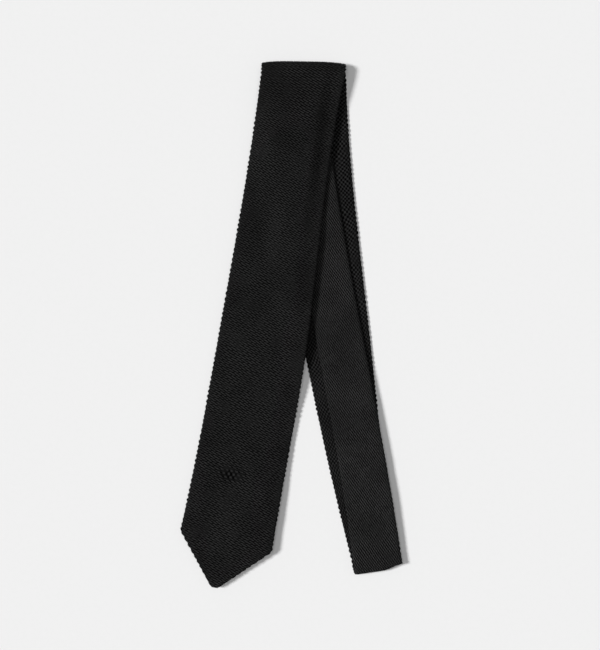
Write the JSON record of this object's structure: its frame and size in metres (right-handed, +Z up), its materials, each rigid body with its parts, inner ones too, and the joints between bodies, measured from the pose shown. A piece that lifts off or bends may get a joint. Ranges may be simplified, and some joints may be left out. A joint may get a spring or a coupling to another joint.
{
  "type": "necktie",
  "caption": "Knitted necktie with a pointed blade, folded in four and lying flat, whose upper fold opens.",
  "frame": {"origin": "middle of the footprint, on the surface that the tie lies on", "axes": "+Z up from the surface, +Y towards the upper fold, +X to the right seen from above"},
  "size_m": [0.156, 0.3704, 0.0113],
  "materials": {
    "knit": "matte black knit",
    "interlining": "brushed woven wool",
    "tipping": "smooth satin lining",
    "thread": "twisted thread",
    "label": "blank woven ribbon"
  },
  "bodies": {
    "folded_base": {"lower_run_envelope": "knit", "lower_run_interlining": "interlining", "lower_run_slip_stitch": "thread", "neck_join_stitch": "thread", "upper_fold_envelope": "knit", "upper_fold_interlining": "interlining", "neck_fold_envelope": "knit", "neck_fold_interlining": "interlining", "neck_run_envelope": "knit", "neck_run_interlining": "interlining", "neck_run_slip_stitch": "thread", "tail_join_stitch": "thread", "inner_fold_envelope": "knit", "inner_fold_interlining": "interlining"},
    "front_blade": {"blade_envelope": "knit", "blade_interlining": "interlining", "blade_tipping": "tipping", "blade_slip_stitch": "thread", "blade_bar_tack": "thread", "keeper_loop": "knit", "label": "label"},
    "tail": {"tail_envelope": "knit", "tail_interlining": "interlining", "tail_tipping": "tipping", "tail_slip_stitch": "thread", "tail_bar_tack": "thread"}
  },
  "joints": [
    {"name": "blade_fold", "type": "hinge", "parent": "folded_base", "child": "front_blade", "pos_m": [0.00858, 0.17901, 0.00565], "axis": [-0.9998, 0.0175, 0], "range_deg": [0, 180], "deforming": ["upper_fold_envelope", "upper_fold_interlining"]},
    {"name": "tail_fold", "type": "hinge", "parent": "folded_base", "child": "tail", "pos_m": [0.00858, 0.17901, 0.00565], "axis": [-0.9998, 0.0175, 0], "range_deg": [0, 180], "deforming": ["inner_fold_envelope", "inner_fold_interlining"]}
  ],
  "couplings": [
    {"joint": "tail_fold", "follows": "blade_fold", "ratio": 1}
  ]
}
